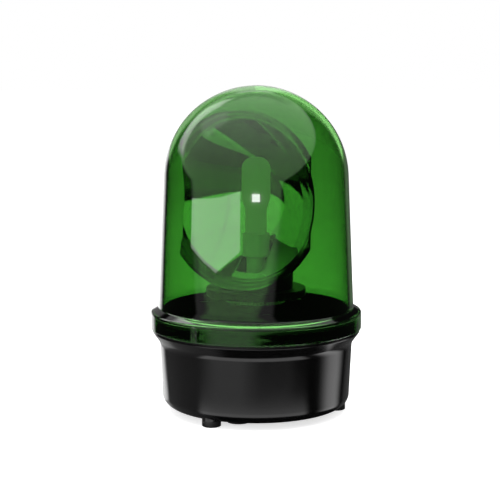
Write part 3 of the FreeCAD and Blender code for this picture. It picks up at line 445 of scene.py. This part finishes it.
base_black = plastic(
    "moulded_black", (0.0012, 0.0012, 0.0013), (0.0022, 0.0022, 0.0023), 0.17, 0.00018, 0.15)
base_profile = rounded([
    (0, base_low), (base_radius, base_low, base_corner), (neck_radius, neck_top, flare_round),
    (flange_radius, flange_low, flange_low_round), (flange_radius, flange_top, flange_top_round),
    (rim_radius, flange_top, rim_root_round), (rim_radius, rim_top, rim_round),
    (rim_inner, rim_top, rim_round), (rim_inner, seat_height), (seat_radius, seat_height),
    (cavity_radius, floor_top, cavity_corner), (0, floor_top)], 12)
base = put_mesh("base_shell", *turned(base_profile, round_angles(256)), "base", "housing_black", base_black)
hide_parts("base_housing")

# The bayonet is three ledges round the rim, each with a stop below one end, moulded with the
# base in the same black plastic. The cap's lugs slide under them.
bayonet_count = 3
ramp_angle = 60.0
ramp_span = math.radians(22.0)
stop_span = math.radians(3.0)
ramp_root = rim_radius - 0.6 * mm
ramp_edge = rim_radius + 1.3 * mm
ramp_round = 0.3 * mm
ledge_low = 60.0 * mm
ledge_middle = 60.9 * mm
ledge_top = 61.8 * mm
stop_middle = 59 * mm


def spread(first, count):
    """Equal turns about the upright axis from the first, given in degrees, as radians."""
    return [math.radians(first + index * 360 / count) for index in range(count)]


def several(parts):
    """The vertices and faces of several surfaces as one."""
    vertices = []
    faces = []
    first = 0
    for points, groups in parts:
        vertices.append(points)
        faces += [group + first for group in groups]
        first += len(points)
    return np.vstack(vertices), faces


def arc_block(profile, middle, span, steps=24):
    """Vertices and faces of a closed profile (r, z) carried over a span of the angle, with ends."""
    angle = np.linspace(middle - span / 2, middle + span / 2, steps + 1)
    grid = np.stack([profile[:, :1] * np.sin(angle), -profile[:, :1] * np.cos(angle),
                     np.repeat(profile[:, 1:], steps + 1, 1)], 2)
    count = len(profile)
    number = np.arange(count * (steps + 1)).reshape(count, steps + 1)
    after = np.roll(number, -1, 0)
    quads = np.stack([number[:, :-1], number[:, 1:], after[:, 1:], after[:, :-1]], 2).reshape(-1, 4)
    ends = [number[:, 0][None], number[::-1, -1][None]]
    return grid.reshape(-1, 3), [quads, *ends]


ledge = rounded([
    (ramp_root, ledge_middle), (ramp_root, ledge_low), (ramp_edge, ledge_low, ramp_round),
    (ramp_edge, ledge_top, ramp_round), (ramp_root, ledge_top)], 4)
stop = rounded([
    (ramp_root, stop_middle), (ramp_root, flange_top), (ramp_edge, flange_top),
    (ramp_edge, ledge_top, ramp_round), (ramp_root, ledge_top)], 4)
ramps = []
for turn in spread(ramp_angle, bayonet_count):
    ramps.append(arc_block(ledge, turn, ramp_span))
    ramps.append(arc_block(stop, turn - (ramp_span - stop_span) / 2, stop_span, 4))
bayonet = put_mesh("bayonet_ramps", *several(ramps), "base", "housing_black", base_black)
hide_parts("base_housing")

# A boss stands on the floor above each foot, moulded with the base in the same black plastic,
# and holds the foot's threaded insert.
foot_count = 3
foot_angle = -32.0
foot_pitch = 54.6 * mm
foot_radius = 6.2 * mm
insert_radius = 3.6 * mm
insert_top = 14.2 * mm
boss_low = base_low + 0.05 * mm
boss_top = 16.2 * mm
boss_round = 0.4 * mm
foot_spots = [(foot_pitch * math.sin(turn), -foot_pitch * math.cos(turn))
              for turn in spread(foot_angle, foot_count)]
boss_profile = rounded([
    (0, insert_top), (insert_radius, insert_top), (insert_radius, boss_low), (foot_radius, boss_low),
    (foot_radius, boss_top, boss_round), (0, boss_top)], 4)
bosses = several([turned(boss_profile, round_angles(48), centre=spot) for spot in foot_spots])
bosses = put_mesh("foot_bosses", *bosses, "base", "housing_black", base_black)
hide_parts("base_housing")

# Three rubber feet lie under the threaded brass inserts, each with a hole for its bolt. A
# rubber grommet grips the floor where the supply cable enters.
bolt_radius = 2.5 * mm
bolt_round = 0.5 * mm
foot_round = 0.7 * mm
foot_top = 4.2 * mm


def metal(name, colour, shade, roughness, ring_pitch=0.0005):
    """Turned or rolled metal: fine rings about the upright axis and faint stains."""
    material, tree = blank_material(name)
    place = tree.node("TexCoord", output="Object")
    cloud = tree.node("TexNoise", {}, {"Vector": place, "Scale": 120.0, "Detail": 4.0})
    marks = tree.node("TexWave", {"bands_direction": "Z"}, {
        "Vector": place, "Scale": 1.0 / ring_pitch / 20, "Distortion": 1.5, "Detail": 2.0}, "Fac")
    relief = tree.node("Bump", {}, {"Height": marks, "Strength": 0.15, "Distance": ring_pitch / 20})
    skin = tree.node("BsdfPrincipled", {}, {
        "Base Color": cloud.blend(colour, shade), "Metallic": 1.0,
        "Roughness": roughness + (cloud - 0.5) * 0.2, "Normal": relief})
    close_material(tree, skin)
    return material


def dress(name, material):
    """Gives a node of the frame its finish."""
    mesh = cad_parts[name].data
    mesh.materials.clear()
    mesh.materials.append(material)


foot_profile = rounded([
    (bolt_radius, foot_top), (bolt_radius, 0, bolt_round), (foot_radius, 0, foot_round),
    (foot_radius, foot_top)], 6)
rubber = plastic("black_rubber", (0.009, 0.009, 0.009), (0.014, 0.014, 0.014), 0.42, 0.00025, 0.5, 0.4)
feet = several([turned(foot_profile, round_angles(64), centre=spot) for spot in foot_spots])
feet = put_mesh("rubber_feet", *feet, "base", "feet_rubber", rubber)
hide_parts("mounting_feet")
dress("cable_grommet", rubber)
dress("foot_inserts", metal("turned_brass", (0.78, 0.56, 0.24), (0.66, 0.46, 0.18), 0.26))

# The seal is a flat ring of moulded grey rubber with rounded upper edges. It lies on the rim of
# the base, under the cap.
seal_inner = 63.0 * mm
seal_middle = 64.6 * mm
seal_outer = 66.3 * mm
seal_top = 66.2 * mm
seal_round = 0.5 * mm
seal_rubber = plastic("grey_rubber", (0.020, 0.022, 0.020), (0.030, 0.032, 0.030), 0.45, 0.0003, 0.4, 0.4)
seal_profile = rounded([
    (seal_middle, rim_top), (seal_outer, rim_top), (seal_outer, seal_top, seal_round),
    (seal_inner, seal_top, seal_round), (seal_inner, rim_top)], 6)
seal = put_mesh("flat_seal", *turned(seal_profile, round_angles(192)), "base", "gasket_rubber", seal_rubber)
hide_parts("cap_gasket")

# The green circuit board is screwed on three standoffs in the base. It carries the terminal
# block, the wire headers, the capacitors and the motor's driver, and black wires lead to the motor.
dress("wire_headers", plastic("header_nylon", (0.78, 0.76, 0.70), (0.84, 0.82, 0.77), 0.45, 0.0004, 0.2))
dress("terminal_block", plastic("terminal_green", (0.03, 0.24, 0.08), (0.04, 0.30, 0.10), 0.42, 0.0004, 0.2))
dress("capacitors", plastic("can_sleeve", (0.02, 0.03, 0.09), (0.03, 0.04, 0.12), 0.3, 0.0004, 0.1))
dress("driver_package", plastic("chip_mould", (0.02, 0.02, 0.02), (0.03, 0.03, 0.03), 0.5, 0.0003, 0.4))
dress("control_board", plastic("circuit_green", (0.01, 0.11, 0.03), (0.015, 0.14, 0.04), 0.35, 0.0006, 0.2))
dress("motor_leads", plastic("black_wire", (0.02, 0.02, 0.02), (0.03, 0.03, 0.03), 0.4, 0.0004, 0.2))
zinc = metal("zinc_plate", (0.66, 0.67, 0.66), (0.54, 0.56, 0.58), 0.34)
for name in ("board_screws", "terminal_screws"):
    dress(name, zinc)

# The deck closes the base: black moulding with a matt top, held by three screws. The geared
# motor hangs under it by two screws.
dress("deck_plate", plastic(
    "matt_black", (0.0025, 0.0025, 0.0028), (0.0035, 0.0035, 0.0035), 0.45, 0.0003, 0.3, 0.0))
dress("deck_screws", metal("black_oxide", (0.06, 0.06, 0.06), (0.03, 0.03, 0.03), 0.4))
for name in ("motor_housing", "motor_screws"):
    dress(name, zinc)

# The spindle is a hollow column of bright steel that stands in the deck, held by its nut. Two
# bronze bushes turn on it, between a nylon washer and a spring clip.
bright_steel = metal("bright_steel", (0.62, 0.62, 0.62), (0.50, 0.50, 0.50), 0.25)
for name in ("spindle", "motor_shaft"):
    dress(name, bright_steel)
dress("spindle_nut", zinc)
dress("retaining_clip", metal("spring_steel", (0.33, 0.33, 0.34), (0.24, 0.24, 0.26), 0.35))
dress("thrust_washer", plastic("nylon", (0.80, 0.79, 0.74), (0.84, 0.83, 0.79), 0.45, 0.0004, 0.2))
bronze = metal("sintered_bronze", (0.48, 0.30, 0.14), (0.36, 0.22, 0.10), 0.48)
for name in ("lower_bush", "upper_bush"):
    dress(name, bronze)

# The turntable is a black moulding that turns on the spindle. Its white acetal gear is screwed
# on from below, and the motor's brass pinion drives it.
dress("turntable", plastic(
    "turntable_black", (0.003, 0.003, 0.0033), (0.004, 0.004, 0.004), 0.35, 0.0003, 0.2, 0.15))
dress("drive_gear", plastic("acetal", (0.70, 0.69, 0.64), (0.76, 0.75, 0.71), 0.38, 0.0004, 0.2))
dress("pinion", metal("pinion_brass", (0.78, 0.56, 0.24), (0.66, 0.46, 0.18), 0.26))
for name in ("gear_screws", "reflector_screws"):
    dress(name, zinc)

# The mirror is black moulded plastic with a vacuum-plated bowl; its legs and back are the same
# piece. Past the bowl's edge the plating thins out. On the rim, painted highlights stand in for the
# glints on its steps: rings of brighter plating at distances from the mirror's axis in millimetres.
yaw = math.radians(32.0)
bowl_edge = (52.4, 52.9)
rim_loss = 0.85
highlight_rings = ((54.0, 0.35), (56.2, 0.30), (58.6, 0.45))
ring_softness = 0.15
ring_highlight = 0.55
mirror, tree = blank_material("plated_mirror")
place = tree.node("TexCoord", output="Object")
haze = tree.node("TexNoise", {}, {"Vector": place, "Scale": 30.0, "Detail": 2.0})
spot = tree.node("SeparateXYZ", {}, {"Vector": place})
across = spot * math.cos(yaw) - spot.also("Y") * math.sin(yaw)
above = spot.also("Z") - focus_height
reach = tree.math("SQRT", across * across + above * above) * (1 / mm)
plating_and_highlights = 1 - reach.step(*bowl_edge) * rim_loss
# Painted highlights: each ring brings the plating back up where a step of the rim would catch the light.
for ring, wide in highlight_rings:
    plating_and_highlights = plating_and_highlights + reach.between(ring - wide, ring + wide, ring_softness) * ring_highlight
plating = haze.blend((0.70, 0.71, 0.72), (0.66, 0.67, 0.68))
close_material(tree, tree.node("BsdfPrincipled", {}, {
    "Base Color": plating_and_highlights.blend((0, 0, 0), plating), "Metallic": 1.0, "Roughness": 0.02 + haze * 0.03}))
dress("reflector", mirror)

# The plating is a fine face of its own, a hair in front of the moulded bowl: a paraboloid that
# ends where the mirror's sweep and its flat top cut it, with the lamp's slot left out.
focal_length = 19.5 * mm
plating_lift = 0.04 * mm
plating_radius = 52.5 * mm
trial_steps = 210
ring_count = 160
least_ring = 0.01
sweep_radius = 51.6 * mm
flat_top = 202.4 * mm
slot_half_width = 10.4 * mm
slot_half_depth = 11.7 * mm
slot_middle = 0.45 * mm
segments = 360
focus = np.array([0.0, 0.0, focus_height])
bowl_axis = np.array([-math.sin(yaw), -math.cos(yaw), 0.0])
bowl_side = np.array([math.cos(yaw), -math.sin(yaw), 0.0])
bowl_up = np.array([0.0, 0.0, 1.0])
bowl_angles = round_angles(segments)


def bowl_points(distance):
    """Points of the plated face at distances from its axis, with a column for each angle."""
    ahead = distance ** 2 / (4 * focal_length) - focal_length + plating_lift
    return (focus + ahead[..., None] * bowl_axis
            + (distance * np.sin(bowl_angles))[..., None] * bowl_side
            + (distance * np.cos(bowl_angles))[..., None] * bowl_up)


# At each angle the plating ends at the farthest trial distance that is inside both cuts.
tried = np.linspace(0, plating_radius, trial_steps + 1)[1:, None] + np.zeros(segments)
spots = bowl_points(tried)
inside_cut = (np.hypot(spots[..., 0], spots[..., 1]) < sweep_radius) & (spots[..., 2] < flat_top)
cut_edge = np.where(inside_cut, tried, 0).max(0)
rings = np.linspace(least_ring, 1, ring_count)[:, None] * cut_edge
bottom = focus - (focal_length - plating_lift) * bowl_axis
vertices = np.vstack([bowl_points(rings).reshape(-1, 3), bottom])
number = np.arange(rings.size).reshape(rings.shape)
after = np.roll(number, -1, 1)
quads = np.stack([number[:-1], number[1:], after[1:], after[:-1]], 2).reshape(-1, 4)
middle = vertices[quads].mean(1)
in_slot = ((np.abs(middle @ bowl_side) < slot_half_width) & (middle[:, 2] < focus_height)
           & (np.abs(middle @ bowl_axis - slot_middle) < slot_half_depth))
fan = np.stack([np.full(segments, rings.size), number[0], after[0]], 1)
put_mesh("bowl_plating", vertices, [quads[~in_slot], fan], "rotor", "mirror_plating", mirror, 80.0)

# The lamp: a moulded grey holder on the spindle, a white board that stands in it between four
# clips, and a light chip on each face of the board.
dress("lamp_holder", plastic("holder_grey", (0.62, 0.64, 0.65), (0.68, 0.69, 0.70), 0.35, 0.0003, 0.2))
dress("lamp_board", plastic("board_white", (0.74, 0.70, 0.70), (0.80, 0.77, 0.77), 0.4, 0.0003, 0.2))
dress("board_clips", plastic("clip_white", (0.85, 0.85, 0.85), (0.9, 0.9, 0.9), 0.2, 0.0003, 0.1))
dress("lamp_wires", plastic("red_wire", (0.42, 0.02, 0.015), (0.50, 0.03, 0.02), 0.4, 0.0004, 0.2))
chip, tree = blank_material("light_chip")
place = tree.node("TexCoord", output="Object")
cloud = tree.node("TexNoise", {}, {"Vector": place, "Scale": 900.0, "Detail": 2.0})
close_material(tree, tree.node("BsdfPrincipled", {}, {
    "Base Color": cloud.blend((0.95, 0.92, 0.80), (0.90, 0.86, 0.70)), "Roughness": 0.3,
    "Emission Color": (0.72, 0.26, 1.0, 1.0), "Emission Strength": 7.0}))
dress("light_chips", chip)

# The cap is clear green polycarbonate with polished faces: a skirt that hides the bayonet, a
# sloping shoulder and a tall dome, with a small mark on the skirt. Its thick collar is deeper
# in tint than its wall.
wall_tint = (0.158, 0.430, 0.116)
thin_tint = (0.170, 0.445, 0.126)
thick_tint = (0.105, 0.330, 0.080)
collar_end = (73.5 * mm, 76.5 * mm)
cap_wall = 2.8 * mm
skirt_low = 57.0 * mm
skirt_edge = 57.8 * mm
skirt_high = 66.6 * mm
skirt_radius = 71.0 * mm
skirt_inner = 68.2 * mm
skirt_round = 0.6 * mm
skirt_roof = 66.4 * mm
roof_round = 0.4 * mm
ridge_height = 68.4 * mm
ridge_round = 1.6 * mm
dome_foot = 71.2 * mm
dome_foot_radius = 65.7 * mm
dome_foot_round = 0.8 * mm
inner_foot_radius = 62.9 * mm
inner_foot_round = 0.3 * mm
spring_line = 157.1 * mm
dome_radius = 61.8 * mm
wall_draft = math.radians(2.6)
wall_rings = 23
dome_steps = 64
cap_segments = 288
mark_angle = math.radians(-34.0)
mark_half = math.radians(1.1)
mark_side = 1.6
mark_reach = 2.2
mark_steps = 40
mark_low = 57.7 * mm
mark_high = 67.4 * mm
mark_ease = 0.6 * mm
mark_rise = 0.7 * mm
outer_side = 70.2 * mm

cap_green, tree = blank_material("clear_green")
place = tree.node("TexCoord", output="Object")
waves = tree.node("TexNoise", {}, {"Vector": place, "Scale": 22.0, "Detail": 1.0})
height = tree.node("SeparateXYZ", {}, {"Vector": place}).also("Z")
wall_colour = waves.blend(wall_tint, thin_tint)
glassy = tree.node("BsdfPrincipled", {}, {
    "Base Color": height.step(*collar_end).blend(thick_tint, wall_colour),
    "Roughness": 0.0, "Transmission Weight": 1.0, "IOR": 1.58})
clear = tree.node("BsdfTransparent", {}, {"Color": (0.60, 0.90, 0.55, 1.0)})
shadow_ray = tree.node("LightPath", output="Is Shadow Ray")
close_material(tree, tree.node("MixShader", {}, {"Fac": shadow_ray, 1: glassy, 2: clear}))


def dome_arc(radius):
    """The dome's outline from where the drafted wall meets it up to the axis."""
    angle = np.linspace(wall_draft, math.pi / 2, dome_steps + 1)
    arc = np.stack([radius * np.cos(angle), spring_line + radius * np.sin(angle)], 1)
    arc[-1, 0] = 0.0
    return arc


def mark_swell(radius, height, angle):
    """A small raised mark on the outside of the skirt, with rounded sides."""
    off = (angle - mark_angle + math.pi) % (2 * math.pi) - math.pi
    side = np.clip(mark_side - np.abs(off) / mark_half, 0, 1)
    from_low = np.clip((height - mark_low) / mark_ease, 0, 1)
    from_high = np.clip((mark_high - height) / mark_ease, 0, 1)
    return np.where(radius > outer_side, mark_rise * np.sqrt(side * from_low * from_high), 0.0)


outer_dome = dome_arc(dome_radius)
inner_dome = dome_arc(dome_radius - cap_wall)
outside = rounded([
    (skirt_inner, skirt_low), (skirt_radius, skirt_low, skirt_round), (skirt_radius, skirt_edge),
    (skirt_radius, skirt_high), (skirt_radius, ridge_height, ridge_round),
    (dome_foot_radius, dome_foot, dome_foot_round), tuple(outer_dome[0])])
inside = rounded([
    tuple(inner_dome[0]), (inner_foot_radius, skirt_roof, inner_foot_round),
    (skirt_inner, skirt_roof, roof_round), (skirt_inner, skirt_low)])
along = np.linspace(0, 1, wall_rings + 2)[1:-1, None]
outer_wall = outside[-2] * (1 - along) + outer_dome[0] * along
inner_wall = inner_dome[0] * (1 - along) + inside[1] * along
cap_profile = np.vstack([inner_dome[::-1], inner_wall, inside[1:], outside[1:-1], outer_wall, outer_dome])
mark_angles = mark_angle + np.linspace(-mark_reach, mark_reach, mark_steps + 1) * mark_half
cap_angles = np.unique(np.concatenate([round_angles(cap_segments), mark_angles % (2 * math.pi)]))
cap = put_mesh("clear_cap", *turned(cap_profile, cap_angles, mark_swell), "cap", "dome_green", cap_green)
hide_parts("dome_cap")

# Three lugs inside the skirt, moulded with the cap in the same green plastic, catch under the
# ledges of the base when the cap is turned.
lug_span = math.radians(15.4)
lug_root = skirt_inner + 0.2 * mm
lug_tip = 66.9 * mm
lug_low = 57.8 * mm
lug_middle = 58.7 * mm
lug_top = 59.7 * mm
lug_round = 0.3 * mm
lug_profile = rounded([
    (lug_root, lug_middle), (lug_root, lug_low), (lug_tip, lug_low, lug_round),
    (lug_tip, lug_top, lug_round), (lug_root, lug_top)], 4)[::-1]
lugs = [arc_block(lug_profile, turn, lug_span) for turn in spread(ramp_angle, bayonet_count)]
lugs = put_mesh("cap_lugs", *several(lugs), "cap", "dome_green", cap_green)
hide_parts("dome_cap")
